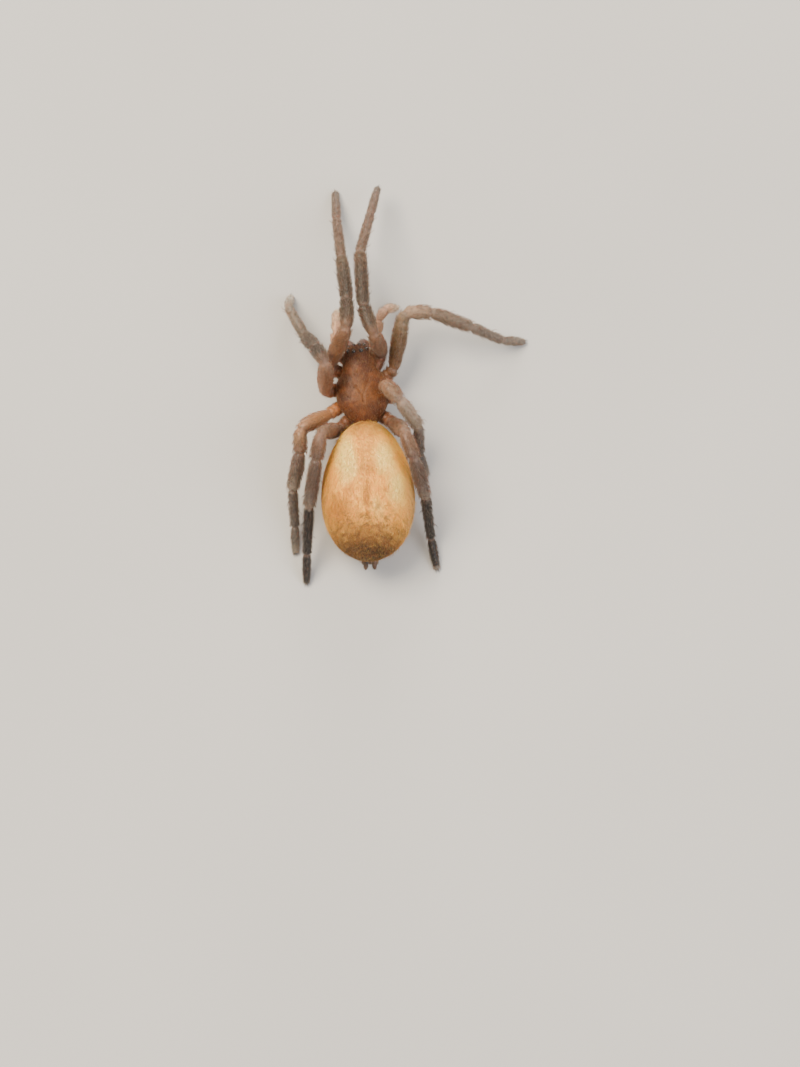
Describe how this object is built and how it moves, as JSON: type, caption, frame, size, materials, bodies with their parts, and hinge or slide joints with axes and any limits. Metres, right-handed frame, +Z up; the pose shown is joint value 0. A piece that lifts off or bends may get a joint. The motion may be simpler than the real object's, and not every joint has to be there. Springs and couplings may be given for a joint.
{
  "type": "lace-weaver window spider",
  "caption": "Still life-size model of a female lace-weaver spider with a plump pale oval abdomen, brown carapace and legs laid forward and back",
  "frame": {"origin": "centre of the bounding box in plan, on the floor that the feet rest on", "axes": "+Y is ahead of the spider and its longest extent, +X is the spider's right, +Z is up"},
  "size_m": [0.0106, 0.0162, 0.004],
  "materials": {
    "carapace_shell": "satin",
    "plate_shell": "satin",
    "abdomen_skin": "matt, finely haired",
    "leg_skin": "satin, finely haired",
    "jaw_shell": "gloss",
    "fang_horn": "gloss",
    "eye_lens": "gloss",
    "spinneret_skin": "matt, finely haired"
  },
  "bodies": {
    "root": {"abdomen": "abdomen_skin", "pedicel": "plate_shell", "carapace": "carapace_shell", "sternum": "plate_shell", "maxilla_left": "plate_shell", "chelicera_left": "jaw_shell", "fang_left": "fang_horn", "palp_left_femur": "leg_skin", "palp_left_tarsus": "leg_skin", "eye_front_median_left": "eye_lens", "eye_front_lateral_left": "eye_lens", "eye_rear_median_left": "eye_lens", "eye_rear_lateral_left": "eye_lens", "spinneret_front_left": "spinneret_skin", "spinneret_rear_left": "spinneret_skin", "leg_left_1_coxa": "leg_skin", "leg_left_1_femur": "leg_skin", "leg_left_1_tibia": "leg_skin", "leg_left_1_tarsus": "leg_skin", "leg_left_2_coxa": "leg_skin", "leg_left_2_femur": "leg_skin", "leg_left_2_tibia": "leg_skin", "leg_left_2_tarsus": "leg_skin", "leg_left_3_coxa": "leg_skin", "leg_left_3_femur": "leg_skin", "leg_left_3_tibia": "leg_skin", "leg_left_3_tarsus": "leg_skin", "leg_left_4_coxa": "leg_skin", "leg_left_4_femur": "leg_skin", "leg_left_4_tibia": "leg_skin", "leg_left_4_tarsus": "leg_skin", "maxilla_right": "plate_shell", "chelicera_right": "jaw_shell", "fang_right": "fang_horn", "palp_right_femur": "leg_skin", "palp_right_tarsus": "leg_skin", "eye_front_median_right": "eye_lens", "eye_front_lateral_right": "eye_lens", "eye_rear_median_right": "eye_lens", "eye_rear_lateral_right": "eye_lens", "spinneret_front_right": "spinneret_skin", "spinneret_rear_right": "spinneret_skin", "leg_right_1_coxa": "leg_skin", "leg_right_1_femur": "leg_skin", "leg_right_1_tibia": "leg_skin", "leg_right_1_tarsus": "leg_skin", "leg_right_2_coxa": "leg_skin", "leg_right_2_femur": "leg_skin", "leg_right_2_tibia": "leg_skin", "leg_right_2_tarsus": "leg_skin", "leg_right_3_coxa": "leg_skin", "leg_right_3_femur": "leg_skin", "leg_right_3_tibia": "leg_skin", "leg_right_3_tarsus": "leg_skin", "leg_right_4_coxa": "leg_skin", "leg_right_4_femur": "leg_skin", "leg_right_4_tibia": "leg_skin", "leg_right_4_tarsus": "leg_skin"}
  },
  "joints": []
}
